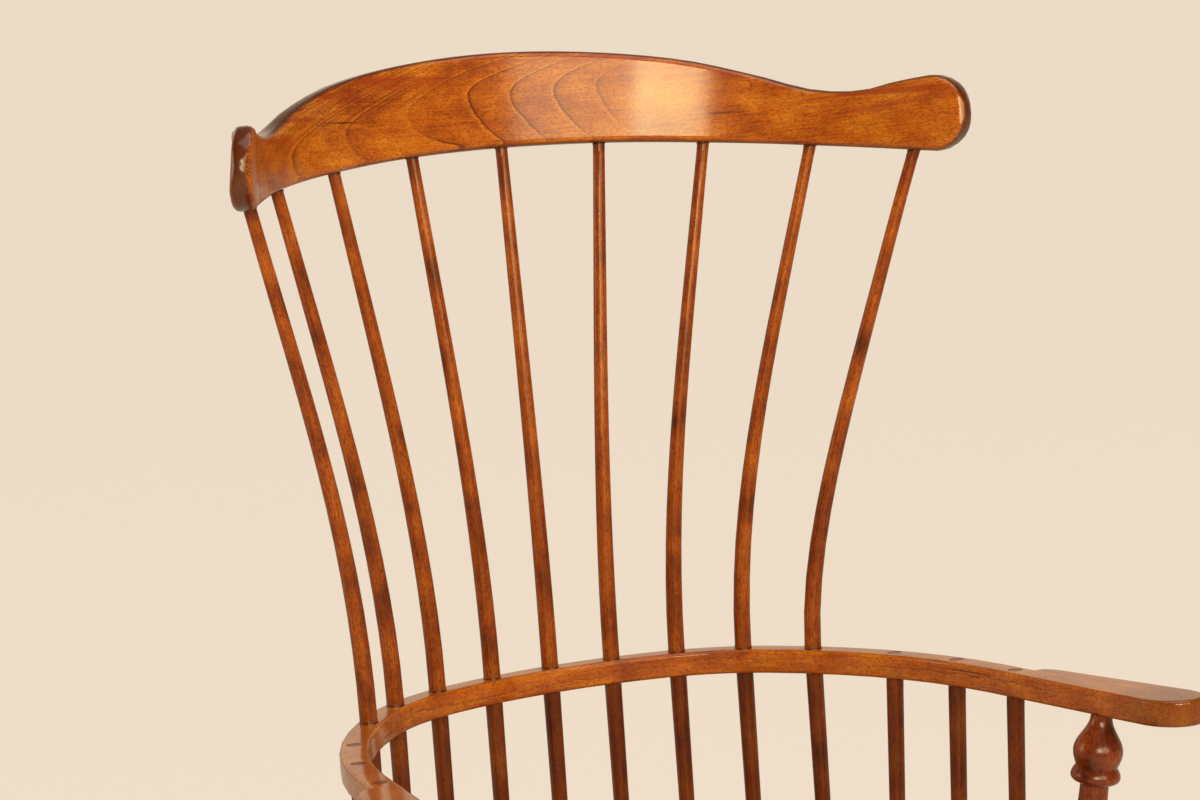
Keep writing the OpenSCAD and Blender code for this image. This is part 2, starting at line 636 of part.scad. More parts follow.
module leg(front, side) {
    d = leg_dir(front, side);
    long = leg_len(front, side);
    vase_r = leg_vase_d / 2;
    ring_r = leg_ring_d / 2;
    swell_r = leg_swell_d / 2;
    tenon_r = leg_tenon_d / 2;
    collar_r = leg_collar_d / 2;
    neck_r = leg_neck_d / 2;
    foot_r = leg_foot_d / 2;
    swell_z = long - (front ? stretcher_front_z : stretcher_back_z) / -d[2];
    at = leg_cuts * swell_z;
    profile = concat(
        [[tenon_r, -leg_socket], [tenon_r, at[0]]],
        ease(tenon_r, collar_r, at[0], at[1], 4),
        bead(collar_r, bead_rise, at[1], at[2], 6),
        ease(neck_r, vase_r, at[2], at[3], 8),
        ease(vase_r, neck_r, at[3], at[4], 9),
        ease(neck_r, collar_r, at[4], at[5], 3),
        bead(collar_r, ring_r - collar_r, at[5], at[6]),
        ease(collar_r, neck_r, at[6], at[7], 4),
        ease(neck_r, swell_r, at[7], swell_z, 8),
        ease(swell_r, foot_r, swell_z, long - foot_r, 9),
        [[foot_r, long - foot_r], [foot_r, long + foot_r]]
    );
    color(stain)
    difference() {
        aim(leg_start(front, side), d) turned(profile);
        translate([-far / 2, -far / 2, -far / 10]) cube([far, far, far / 10]);
        if (front) stretcher_socket(stretcher_front(side), stretcher_back(side));
        if (!front) stretcher_socket(stretcher_back(side), stretcher_front(side));
    }
}

// Socket for a stretcher that comes from point q to the axis of the piece at p
module stretcher_socket(p, q) {
    d = unit(q - p);
    aim(p + d * (leg_swell_d / 2 - stretcher_tenon - socket_end), d)
        cylinder(d = stretcher_tenon_d + 2 * glue, h = leg_swell_d);
}

// Stretcher between the axis points p and q of the pieces it is let into, whose radii are given
module stretcher(p, q, radius, rings) {
    long = norm(q - p);
    start = radius - stretcher_tenon;
    bare = radius + seat_gap;
    end_r = stretcher_end_d / 2;
    tenon_r = stretcher_tenon_d / 2;
    swell_r = stretcher_d / 2;
    neck_r = medial_neck_d / 2;
    bead_end = long / 2 - medial_bead_at;
    bead_start = bead_end - medial_bead_w;
    half = concat(
        [[tenon_r, start], [tenon_r, bare]],
        ease(tenon_r, end_r, bare, bare + collar, 3),
        rings
        ? concat(
            ease(end_r, neck_r, bare + collar, bead_start, 4),
            bead(neck_r, bead_rise, bead_start, bead_end, 6),
            ease(neck_r, swell_r, bead_end, long / 2, 8))
        : ease(end_r, swell_r, bare + collar, long / 2, 12)
    );
    n = len(half);
    profile = concat(
        half,
        [[swell_r, long / 2]],
        [for (k = [n - 1 : -1 : 0]) [half[k][0], long - half[k][1]]]
    );
    aim(p, q - p) turned(profile);
}
function side_mid(side) = (stretcher_front(side) + stretcher_back(side)) / 2;

module side_stretcher(side) {
    color(stain)
    difference() {
        stretcher(stretcher_front(side), stretcher_back(side), leg_swell_d / 2, false);
        aim(side_mid(side) + [side, 0, 0] * (stretcher_tenon - stretcher_d / 2 + socket_end), [-side, 0, 0])
            cylinder(d = stretcher_tenon_d + 2 * glue, h = stretcher_d);
    }
}

module medial_stretcher() {
    color(stain) stretcher(side_mid(-1), side_mid(1), stretcher_d / 2, true);
}

module seat() {
    color(dark_stain)
    difference() {
        raked() difference() {
            translate([0, 0, -seat_drop]) seat_board();
            for (i = [0 : 4], side = (i == 0 ? [1] : [-1, 1]))
                translate(long_foot(i, side) - [0, 0, seat_drop + seat_socket + socket_end])
                    cylinder(d = long_foot_d + 2 * glue, h = seat_socket * 2);
            for (i = [0 : 2], side = [-1, 1])
                let (d = short_lean_dir(side), k = seat_drop + seat_socket + socket_end)
                    aim(short_top(i, side) - d * k, d)
                        cylinder(d = long_foot_d + 2 * glue, h = seat_socket * 2);
            for (side = [-1, 1])
                let (d = post_dir(side), k = seat_drop + seat_socket + socket_end)
                    aim(post_top(side) - d * k, d)
                        cylinder(d = post_foot_d + 2 * glue, h = seat_socket * 2);
        }
        for (front = [true, false], side = [-1, 1]) leg_socket_cut(front, side);
    }
}

// Edges of the rail at distance s from the middle of the back
function rail_edge(s, off) = let (p = arm_at(s)) [p[0] + off * sin(p[2]), p[1] + off * cos(p[2])];
bend_stations = concat(
    [for (k = [0 : 3]) k / 4 * back_r * back_turn * PI / 180],
    [for (k = [0 : 6]) PI / 180 * (back_r * back_turn + k / 7 * corner_r * corner_turn)],
    [for (k = [0 : 6]) bends_len - (1 - k / 7) * side_r * side_turn * PI / 180],
    [bends_len, (bends_len + hand_at) / 2]
);

// Pairs of points [outer, inner] along the right half of the rail, with its edges moved in by d:
// the bends, the hand's shoulder and the nose, whose outer side is the block's glue line
function rail_pairs(d) =
    let (hand = inset(hand_outline, -d), inner = d - rail_w,
         corner = hand[shoulder_i], start = cut_at(corner, hand[shoulder_i + 1], 0))
        concat(
            [for (s = bend_stations) [rail_edge(s, rail_w / 2 - d), rail_edge(s, d - rail_w / 2)]],
            [for (p = [corner, start]) [hand_point(p[0], p[1]), hand_point(p[0], inner)]],
            [for (i = [sweep_i : -1 : tip_i + 2])
                [hand_point(hand[i][0], 0), hand_point(hand[i][0], hand[i][1])]],
            [let (tip = cut_at(hand[tip_i], hand[tip_i + 1], 0), p = hand[tip_i + 1])
                [hand_point(tip[0], tip[1]), hand_point(p[0], p[1])]]
        );
function mirrored(p) = [-p[0], p[1]];
module rail_board() {
    loft([
        for (step = board_steps(rail_t, rail_round))
            let (pairs = rail_pairs(step[0]), n = len(pairs), z = step[1], plan = concat(
                [for (k = [n - 1 : -1 : 0]) pairs[k][0]], [for (k = [1 : n - 1]) mirrored(pairs[k][0])],
                [for (k = [n - 1 : -1 : 1]) mirrored(pairs[k][1])], [for (k = [0 : n - 1]) pairs[k][1]]))
                [for (p = plan) [p[0], p[1], z]]
    ], strips = true);
}

// Block that widens the rail into a hand, glued to the rail's outer edge
module hand_block(side) {
    color(stain)
    raked() mirror([side < 0 ? 1 : 0, 0, 0]) loft([
        for (step = board_steps(rail_t, rail_round))
            let (hand = inset(hand_outline, -step[0]),
                 tip = cut_at(hand[tip_i], hand[tip_i + 1], glue),
                 start = cut_at(hand[shoulder_i], hand[shoulder_i + 1], glue))
                [for (p = concat([tip], [for (i = [tip_i : -1 : shoulder_i + 1]) hand[i]], [start]))
                    let (q = hand_point(p[0], p[1])) [q[0], q[1], step[1]]]
    ]);
}

module arm_rail() {
    color(stain)
    raked() difference() {
        rail_board();
        for (i = [0 : 4], side = (i == 0 ? [1] : [-1, 1]))
            translate(long_foot(i, side) - [0, 0, 2 * rail_t])
                cylinder(d = long_d + 2 * glue, h = 3 * rail_t);
        for (i = [0 : 2], side = [-1, 1])
            let (d = short_lean_dir(side))
                aim(short_top(i, side) - d * 2 * rail_t, d)
                    cylinder(d = short_tenon_d + 2 * glue, h = 3 * rail_t);
        for (side = [-1, 1])
            let (d = post_dir(side))
                aim(post_top(side) - d * 2 * rail_t, d)
                    cylinder(d = post_tenon_d + 2 * glue, h = rail_t + hand_socket + socket_end);
    }
}

crest_rail();
arm_rail();
hand_block(-1);  // hand_block_left
hand_block(1);  // hand_block_right
for (k = [1 : 9])
    long_spindle(abs(k - 5), k < 5 ? -1 : 1);
for (k = [1 : 3]) {
    short_spindle(3 - k, -1);
    short_spindle(k - 1, 1);
}
arm_post(-1);  // arm_post_left
arm_post(1);  // arm_post_right
seat();
leg(true, -1);  // leg_front_left
leg(true, 1);  // leg_front_right
leg(false, -1);  // leg_back_left
leg(false, 1);  // leg_back_right
side_stretcher(-1);  // side_stretcher_left
side_stretcher(1);  // side_stretcher_right
medial_stretcher();
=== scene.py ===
"""High back Windsor armchair in amber-stained maple under clear gloss lacquer.

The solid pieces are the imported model's own. This script gives each one its wood: coordinates that
follow the grain along the piece, the stain and growth rings of its cut, and the lacquer. It turns in
the crest's left ear, carries the short spindles at full thickness up to the arm rail, and lays the
thin dark lines of lacquer that collect where spindles and posts enter other pieces.
"""
import math
from functools import partial

import bpy
import numpy as np
from mathutils import Matrix, Vector


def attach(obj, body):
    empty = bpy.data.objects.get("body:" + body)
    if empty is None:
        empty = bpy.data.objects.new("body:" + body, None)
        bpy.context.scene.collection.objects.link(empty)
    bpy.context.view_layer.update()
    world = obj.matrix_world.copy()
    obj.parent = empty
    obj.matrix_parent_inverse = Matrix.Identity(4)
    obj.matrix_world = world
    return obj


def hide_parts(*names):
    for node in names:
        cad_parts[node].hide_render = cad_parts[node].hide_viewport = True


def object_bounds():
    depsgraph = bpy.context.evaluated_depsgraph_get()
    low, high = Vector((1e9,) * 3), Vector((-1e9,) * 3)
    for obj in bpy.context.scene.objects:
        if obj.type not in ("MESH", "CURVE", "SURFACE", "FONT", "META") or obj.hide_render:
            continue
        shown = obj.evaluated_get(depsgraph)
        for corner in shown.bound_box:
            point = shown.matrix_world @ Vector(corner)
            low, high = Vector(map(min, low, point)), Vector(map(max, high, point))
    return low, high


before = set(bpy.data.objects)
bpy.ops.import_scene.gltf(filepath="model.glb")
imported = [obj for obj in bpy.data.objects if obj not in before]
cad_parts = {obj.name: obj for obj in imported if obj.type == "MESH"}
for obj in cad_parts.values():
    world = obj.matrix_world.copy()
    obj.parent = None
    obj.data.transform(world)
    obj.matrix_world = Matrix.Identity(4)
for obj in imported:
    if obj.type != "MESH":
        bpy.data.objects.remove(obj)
cad_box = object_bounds()

MM = 0.001

# The chair's own sizes that the wood's grain follows, in metres and degrees
ARM_HEIGHT = 0.640          # arm rail's top face at the middle of the back
ARM_THICK = 0.0205
SEAT_DROP = 0.231           # from the arm rail's top face to the seat's deck, square to both
BACK_Y = 0.2040             # middle spindle, at the arm rail
RAKE = 4.8                  # rise of the arm rail and seat towards the front
ARM_BENDS = ((0.353, 16.4), (0.174, 31.4), (0.370, 36.2))   # radius and angle of each bend
ARM_RUN_OUT = 0.42          # straight stretch of the hands, past the last bend
CREST_RISE = 0.4405         # crest's lower edge above the arm rail, at the middle
CREST_BACK = 0.0585         # crest's middle behind the arm rail's middle
CREST_TILT = 8.3            # its top leans back
CREST_BENDS = ((0.339, 28.73), (0.254, 31.58))
CREST_RUN_OUT = 0.15
SEAT_HEIGHT = 0.43          # of the line that the seat's rings are measured from
SEAT_REACH = 0.4            # the seat's grain runs front to back, this far each way

# The left ear, in metres from the crest's middle: where it starts to turn in and has turned, along the
# crest and across it
EAR_ALONG = (-0.352, -0.404)
EAR_ACROSS = (-0.066, 0.027)
EAR_TURNED = 6 * MM
EAR_THINNED = 4.5 * MM      # off its back

# Sleeve that covers a short spindle's shoulder under the arm rail
SHOULDER = 9 * MM           # its length
SHOULDER_WALL = 2 * MM
SHOULDER_PROUD = 0.04 * MM  # so that its face lies outside the solid's
SHOULDER_SUNK = 0.1 * MM    # its end reaches this far into the rail
RING_AT_RAIL = 2            # which of its rings of points lies there

# Radius of the lacquer bead at each kind of joint
ARM_UNDER_BEAD = 0.7 * MM
ARM_TOP_BEAD = 0.8 * MM
DECK_BEAD = 0.8 * MM
CREST_BEAD = 0.7 * MM

FAR_OFF = -1.0              # height over an edge that a piece doesn't come near

# Camera that took the reference view, in a 1200 by 800 frame
CAMERA_PLACE = (-1.0385, -2.0468, 1.3238)
CAMERA_YAW = 25.936
CAMERA_PITCH = 10.359
CAMERA_ROLL = -1.978
CAMERA_LENS = 89.91
CAMERA_SENSOR = 36

# Soft lamps: place, the point it faces, width and height, watts, colour
CREST_PLACE = (0, 0.25, 1.1)
LAMPS = {
    "window_wide": ((0.2, -3.3, 1.9), CREST_PLACE, (2.4, 1.4), 48, "#ffe8bc"),
    "window_front": ((-1.15, -2.75, 1.8), CREST_PLACE, (1.1, 0.9), 42, "#ffe4ac"),
    "window_left": ((-2.6, 1.5, 1.5), (0, 0.15, 1.0), (0.5, 1.3), 8, "#fff4e6"),
    "ceiling": ((0.2, -0.4, 3.0), (0, 0, 0.6), (2.0, 2.0), 20, "#fff6ea"),
}

# The studio's paleness. Gloss mirrors a pale backdrop behind the chair and a dimmer studio in front
PALE_BEHIND = 0.80
PALE_IN_FRONT = 0.14
PALE_ALOFT = 0.2            # share of either that is left high up
TURNS_PALE = (-0.1, 0.5)    # how far a direction points backwards where the one turns into the other
TURNS_DIM = (0.2, 0.5)      # and upwards
LIGHT_ALL_ROUND = 0.36      # strength for what isn't mirrored
BACKGROUND = 0.86           # strength that the camera sees above the floor
WARM_WHITE = "#ffe6c6"
CREAM = "#fdecd7"
FLOOR_TAN = "#ddcdb8"
FLOOR_HALF = 40.0           # metres from the middle to each side
FLOOR_GLOW = 0.8            # share of cream that the camera sees in the floor
FLOOR_GLOW_MIRRORED = 0.25  # and gloss

# Stain, as three tones: where the grain drinks it, over maple, over sapwood
AMBER = ("#964409", "#c0670f", "#d88a22")
HONEY = ("#a4500e", "#ba6410", "#c8761a")     # more even on the seat, whose grain runs flat
BROWN = ("#581e02", "#a04c09", "#c87020")     # over the denser straight grain of spindles
RUSSET = ("#401504", "#7a3108", "#ae5816")    # on the turnings, which show their end grain
RING_BROWN = "#6a240a"      # late wood lines
RED_BROWN = "#96340c"       # red brown along the crest's upper edge
STREAK_BROWN = "#2c1008"    # mineral streaks
END_GRAIN_AND_SHADE_BROWN = "#401404"       # end grain, where the stain soaks in, and painted shade on edges and near joints
LINE_BROWN = "#2e0e06"      # lacquer and stain that collect in a corner

# How a board lies in the tree, in mm. ring: ring spacing; pith: its depth below the face; wander and
# ragged: how far the rings stray, slowly and finely; lines: how strong they are; climb and ease: how
# the depth changes along the board, and left of the turn; middle: height of the figure's middle line;
# fan: how fast the arches spread below and above it; turn: how far left of the board's middle that line
# starts to lean; lean: by how much; figure_end: where the lines fade; fine: thinner lines to a ring on
# the figure's upper left; knots: each one's place along and across, size and lift of the rings.
# Hard maple's rings are 1 to 4 mm apart. The crest's and the seat's stand for two to four rings each,
# since only some of them show as lines under the stain.
PLAIN_CUT = {"ragged": 1.6, "climb": 0, "ease": 0, "middle": 0, "fan": (1, 1), "turn": 0, "lean": 0,
             "figure_end": 9000, "fine": 0, "knots": ()}
STRAIGHT_CUT = PLAIN_CUT | {"ring": 2.2, "pith": 25, "wander": 3, "lines": 0.45}
RAIL_CUT = PLAIN_CUT | {"ring": 3.2, "pith": 30, "wander": 6, "lines": 0.5}
TURNED_CUT = PLAIN_CUT | {"ring": 3.0, "pith": 12, "wander": 4, "lines": 0.45}
SEAT_CUT = PLAIN_CUT | {"ring": 6.0, "pith": 60, "wander": 14, "lines": 0.55, "climb": 0.05}
CREST_CUT = {"ring": 8, "pith": 58.7, "wander": 2.5, "ragged": 0.6, "lines": 0.85, "climb": 0.20,
             "ease": 0.08, "middle": 45, "fan": (0.75, 1.7), "turn": 40, "lean": 0.2, "figure_end": 70,
             "fine": 2, "knots": ((-188, 15, 10, 4), (224, 33, 13, -5), (393, 4, 16, 6))}
FIGURE_FADE = 60            # mm over which the lines fade at the figure's end
LINES_LEFT = 0.15           # share of them that is left there
FINE_LEFT = -50             # mm past the turn where the thinner lines are at full strength
FINE_HEIGHT = (-2, 12)      # mm over the figure's middle line where they set in
FIBRE_TONE = 0.3            # share of the fibres in the stain's tone
BLOTCH_TONE = 0.7           # and of the blotches
TONE_STOPS = (0.34, 0.50, 0.68)
HALO_SHARE = 0.7
KNOT_LONG = 2               # times as long as wide
KNOT_LINES = 0.6
KNOT_UNEVEN = 1.6           # how far the noise pulls its outline out of round
NOISE_MIDDLE = 0.45
SEAT_BOARD = 92             # width of the boards that the seat is glued up from
BOARD_STAGGER = 7.3         # how far along the tree a board's wood lies, for its distance across
LOG_REACH = 40              # metres of wood that pieces are cut from, so that no two look the same

# Darker towards edges and joints, partly stain and partly painted shade: the edge distance, from and to
# how many mm, and how much
# Partly painted shade: the top edge, and the edges and ear ends that turn from the board's face, whose end
# grain also takes more stain
CREST_EDGES = (
    ("X", 4, 0, 0.4),       # depth below the top edge, painted shade
    ("Y", 3, 0, 0.5),       # height over the bottom edge
    ("Z", 0.12, 0.75, 0.85),    # how far the surface turns away from the board's face, 0 to 1
)
RAIL_EDGES = (
    ("X", 2, 20, 0.1),      # depth below the top face
    ("Y", 2, 0, 0.5),       # height over the underside
    ("Z", 80, 15, 0.55),    # distance behind the hands' front ends
)
# Darker towards the arm rail and under it, partly stain and partly painted shade; painted shade next to the
# crest and the seat
SPINDLE_STAIN_AND_SHADE = (
    ("X", 330, 30, 0.16),   # height over the arm rail
    ("X", 10, -6, 0.56),
    ("Y", -12, -1, 0.4),    # height over the crest's lower edge
    ("Z", 12, 0, 0.3),      # height over the seat's deck
)
BLUSH_EDGE = (30, 8, 0.75)  # red brown from and to this depth below the crest's top edge

# Noise in the wood: how many mm long with the grain and wide across it, and its detail. Maple's fibres
# are well under 0.1 mm wide and its ray flecks under 1 mm long. Both are drawn coarser, so that they show
WOOD_NOISE = {
    "wander": (170, 34, 1),
    "ragged": (15, 5, 2),
    "fade": (120, 30, 1),
    "fibres": (60, 1.4, 3),
    "flecks": (6, 1.3, 1),
    "specks": (3.0, 1.3, 3),
    "blotch": (46, 26, 3),
    "streak": (130, 3.5, 2),
    "blush": (90, 6, 1),
    "swell": (20, 10, 1),
}
NOISE_APART = 7.0           # each kind is taken from its own place
FIBRE_RELIEF = 0.06 * MM
LACQUER_SWELL = 0.10 * MM
CLOUDS_PER_METRE = 240.0    # about 4 mm to a cloud, in the pooled lacquer

# Ramps, as places with the share there: of a ring for the first three, of the noise for the others
LATE_WOOD = ((0.0, 0.05), (0.30, 0.12), (0.455, 0.38), (0.485, 1.0), (0.515, 1.0), (0.53, 0.0))
HALO = ((0.525, 0.0), (0.56, 1.0), (0.60, 0.55), (0.70, 0.0))
THIN_LINE = ((0.10, 0.1), (0.42, 0.4), (0.50, 0.9), (0.62, 0.0))
LINES_SHOWN = ((0.36, 0.25), (0.58, 1.0))
FLECKS = ((0.54, 0.0), (0.70, 0.45))
SPECKS = ((0.46, 0.0), (0.66, 0.5))
STREAKS = ((0.69, 0.0), (0.77, 0.75))
BLUSH = ((0.46, 0.0), (0.62, 1.0))


def srgb(code):
    """Linear RGBA of an sRGB hex colour."""
    parts = [int(code[i:i + 2], 16) / 255 for i in (1, 3, 5)]
    return [c / 12.92 if c <= 0.04045 else ((c + 0.055) / 1.055) ** 2.4 for c in parts] + [1.0]


def add_node(tree, kind, inputs=None, stops=(), **settings):
    """Add a node with its settings and ramp stops, and feed its sockets with values or other nodes."""
    node = tree.nodes.new(kind)
    for name, value in settings.items():
        setattr(node, name, value)
    for name, value in (inputs or {}).items():
        if isinstance(value, bpy.types.Node):
            value = next(out for out in value.outputs if out.enabled)
        if isinstance(value, bpy.types.NodeSocket):
            tree.links.new(value, node.inputs[name])
        else:
            node.inputs[name].default_value = value
    for place, _ in stops[1:-1]:
        node.color_ramp.elements.new(place)
    for element, (place, colour) in zip(node.color_ramp.elements if stops else (), stops):
        element.position = place
        element.color = colour if isinstance(colour, list) else [colour, colour, colour, 1]
    return node


def new_finish(name):
    """An empty material, and the function that adds a node to it."""
    material = bpy.data.materials.new(name)
    material.use_nodes = True
    material.node_tree.nodes.clear()
    return material, partial(add_node, material.node_tree)


def new_object(name, data):
    thing = bpy.data.objects.new(name, data)
    bpy.context.scene.collection.objects.link(thing)
    return thing


# Stage: camera, light and floor

def set_camera():
    yaw, pitch, roll = (math.radians(a) for a in (CAMERA_YAW, CAMERA_PITCH, CAMERA_ROLL))
    ahead = Vector((math.sin(yaw) * math.cos(pitch), math.cos(yaw) * math.cos(pitch), -math.sin(pitch)))
    level = Vector((math.cos(yaw), -math.sin(yaw), 0))
    rise = level.cross(ahead)
    right = math.cos(roll) * level + math.sin(roll) * rise
    up = -math.sin(roll) * level + math.cos(roll) * rise
    camera = new_object("camera", bpy.data.cameras.new("camera"))
    camera.data.lens = CAMERA_LENS
    camera.data.sensor_width = CAMERA_SENSOR
    turn = Matrix((right, up, -ahead)).transposed().to_4x4()
    camera.matrix_world = Matrix.Translation(CAMERA_PLACE) @ turn
    bpy.context.scene.camera = camera


def light_studio():
    bpy.context.scene.view_settings.view_transform = "Standard"
    world = bpy.data.worlds.new("pale_room")
    bpy.context.scene.world = world
    world.use_nodes = True
    world.node_tree.nodes.clear()
    node = partial(add_node, world.node_tree)
    way = node("ShaderNodeSeparateXYZ", {0: node("ShaderNodeTexCoord").outputs["Generated"]}).outputs
    behind = node("ShaderNodeMapRange", {
        "Value": way["Y"], "From Min": TURNS_PALE[0], "From Max": TURNS_PALE[1],
        "To Min": PALE_IN_FRONT, "To Max": PALE_BEHIND})
    aloft = node("ShaderNodeMapRange", {
        "Value": way["Z"], "From Min": TURNS_DIM[0], "From Max": TURNS_DIM[1],
        "To Min": 1.0, "To Max": PALE_ALOFT})
    pale = node("ShaderNodeMath", {0: behind, 1: aloft}, operation="MULTIPLY")
    path = node("ShaderNodeLightPath").outputs
    mirrored = node("ShaderNodeMath", {0: path["Is Glossy Ray"], 1: path["Is Transmission Ray"]},
                    operation="MAXIMUM")
    light = node("ShaderNodeMix", {0: mirrored, 2: LIGHT_ALL_ROUND, 3: pale}, data_type="FLOAT")
    strength = node("ShaderNodeMix", {0: path["Is Camera Ray"], 2: light, 3: BACKGROUND}, data_type="FLOAT")
    tint = node("ShaderNodeMix", {0: path["Is Camera Ray"], 6: srgb(WARM_WHITE), 7: srgb(CREAM)},
                data_type="RGBA")
    sky = node("ShaderNodeBackground", {"Color": tint, "Strength": strength})
    node("ShaderNodeOutputWorld", {"Surface": sky})
    for name, (place, target, size, watts, colour) in LAMPS.items():
        lamp = new_object(name, bpy.data.lights.new(name, "AREA"))
        lamp.data.shape = "RECTANGLE"
        lamp.data.size, lamp.data.size_y = size
        lamp.data.energy = watts
        lamp.data.color = srgb(colour)[:3]
        lamp.location = place
        lamp.rotation_euler = (Vector(target) - Vector(place)).to_track_quat("-Z", "Y").to_euler()
        lamp.visible_camera = False


def lay_floor():
    """Plain pale floor, matt so that it keeps the chair's shadow. Far off it is out of the lamps' reach,
    so what the camera sees of it is lifted to the same paleness."""
    half = FLOOR_HALF
    mesh = bpy.data.meshes.new("floor")
    mesh.from_pydata([(-half, -half, 0), (half, -half, 0), (half, half, 0), (-half, half, 0)], [],
                     [(0, 1, 2, 3)])
    floor = new_object("floor", mesh)
    material, node = new_finish("pale_floor")
    matt = node("ShaderNodeBsdfDiffuse", {"Color": srgb(FLOOR_TAN)})
    glow = node("ShaderNodeEmission", {"Color": srgb(CREAM), "Strength": 1.0})
    path = node("ShaderNodeLightPath").outputs
    bounced = node("ShaderNodeMath", {0: path["Is Glossy Ray"], 1: path["Is Transmission Ray"]},
                   operation="MAXIMUM")
    mirrored = node("ShaderNodeMath", {0: bounced, 1: FLOOR_GLOW_MIRRORED}, operation="MULTIPLY")
    seen = node("ShaderNodeMath", {0: path["Is Camera Ray"], 1: FLOOR_GLOW, 2: mirrored},
                operation="MULTIPLY_ADD")
    both = node("ShaderNodeMixShader", {0: seen, 1: matt, 2: glow})
    node("ShaderNodeOutputMaterial", {"Surface": both})
    mesh.materials.append(material)


# Wood coordinates: how far along, across and through the board each point of a piece lies

def walk(bends, run_out, steps=24):
    """Plan of a bent rail as points from its middle, heading along +X and turning towards -Y."""
    points = [(0.0, 0.0)]
    x = y = heading = 0.0
    for radius, turn in bends:
        for _ in range(steps):
            ahead = heading + math.radians(turn) / steps
            x += radius * (math.sin(ahead) - math.sin(heading))
            y -= radius * (math.cos(heading) - math.cos(ahead))
            heading = ahead
            points.append((x, y))
    points.append((x + run_out * math.cos(heading), y - run_out * math.sin(heading)))
    right = np.array(points)
    left = right[:0:-1] * (-1, 1)
    return np.vstack([left, right])


def rail_line(plan, middle, tilt):
    """A bent rail's line through its middle point, tipped by tilt, and the direction square to it."""
    ahead = np.array((0, math.cos(math.radians(tilt)), -math.sin(math.radians(tilt))))
    square = np.array((0, math.sin(math.radians(tilt)), math.cos(math.radians(tilt))))
    return middle + plan[:, :1] * (1, 0, 0) + plan[:, 1:] * ahead, square


def turned_line(points, ring_gap=0.5 * MM):
    """A turned or shaved piece's centreline from the rings of points round it, the world axis that lies
    most nearly square to it, and the radius at each ring."""
    middle = points.mean(0)
    ahead = np.linalg.svd(points - middle, full_matrices=False)[2][0]
    if ahead[np.abs(ahead).argmax()] < 0:
        ahead = -ahead
    reach = (points - middle) @ ahead
    order = reach.argsort(kind="stable")
    rings = np.split(order, np.where(np.diff(reach[order]) > ring_gap)[0] + 1)
    path = np.array([points[ring].mean(0) for ring in rings])
    radii = np.array([np.linalg.norm(points[ring] - centre, axis=1).mean()
                      for ring, centre in zip(rings, path)])
    up = np.zeros(3)
    up[np.abs(ahead).argmin()] = 1
    return path, up, radii


def wood_coordinates(points, path, up):
    """Each point's distance along the path and its offsets across and through the board, then the
    direction through the board there."""
    starts, steps = path[:-1], np.diff(path, axis=0)
    lengths = np.linalg.norm(steps, axis=1)
    reach = np.concatenate([[0], np.cumsum(lengths)])
    ahead = steps / lengths[:, None]
    offset = points[:, None, :] - starts[None]
    run = np.clip((offset * ahead).sum(2), 0, lengths)
    gap = ((offset - run[:, :, None] * ahead) ** 2).sum(2)
    k = gap.argmin(1)
    rows = np.arange(len(points))
    along = reach[k] + run[rows, k] - reach[-1] / 2
    out = points - (starts[k] + run[rows, k][:, None] * ahead[k])
    through = np.cross(ahead[k], up)
    return np.column_stack([along, out @ up, (out * through).sum(1)]), through


def edge_heights(grain, step=12 * MM, enough=8):
    """Places along a rail with the heights of its lower and upper edge there."""
    places = np.arange(grain[:, 0].min() + step, grain[:, 0].max() - step, step)
    near = [(place, grain[np.abs(grain[:, 0] - place) < step, 1]) for place in places]
    return np.array([(place, heights.min(), heights.max())
                     for place, heights in near if len(heights) > enough]).T


def store(piece, name, values):
    attribute = piece.data.attributes.new(name, "FLOAT_VECTOR", "POINT")
    attribute.data.foreach_set("vector", values.astype(np.float32).ravel())


def piece_points(piece, kind="co"):
    """The piece's points, or their normals."""
    flat = np.empty(len(piece.data.vertices) * 3, np.float32)
    piece.data.vertices.foreach_get(kind, flat)
    return flat.reshape(-1, 3).astype(float)


def ease_between(values, start, end):
    share = np.clip((values - start) / (end - start), 0, 1)
    return share * share * (3 - 2 * share)


def turn_in_left_ear(crest, grain, through):
    """The crest with its left ear as the maker shaped it: turned in a little further than the right one
    and thinned at the back of its top. Each point moves straight through the board."""
    share = ease_between(grain[:, 0], *EAR_ALONG) * ease_between(grain[:, 1], *EAR_ACROSS)
    deep = np.abs(grain[:, 2]) / np.abs(grain[:, 2]).max()
    inwards = -np.sign(np.median(grain[:, 2]))
    points = piece_points(crest) + (share * (EAR_TURNED + EAR_THINNED * deep) * inwards)[:, None] * through
    ear = new_object("shaped_crest", crest.data.copy())
    ear.data.vertices.foreach_set("co", points.astype(np.float32).ravel())
    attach(ear, "root")
    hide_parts("crest_rail")
    return ear


# Finishes

def wood_noise(node, grain):
    """Each kind of noise in the wood, stretched along the grain."""
    noise = {}
    for index, (kind, (long, wide, detail)) in enumerate(WOOD_NOISE.items()):
        vector = node("ShaderNodeMapping", {
            "Vector": grain, "Location": (NOISE_APART * index,) * 3,
            "Scale": (1 / (long * MM), 1 / (wide * MM), 1 / (wide * MM))})
        noise[kind] = node("ShaderNodeTexNoise", {
            "Vector": vector, "Scale": 1.0, "Detail": detail, "Roughness": 0.55})
    return noise


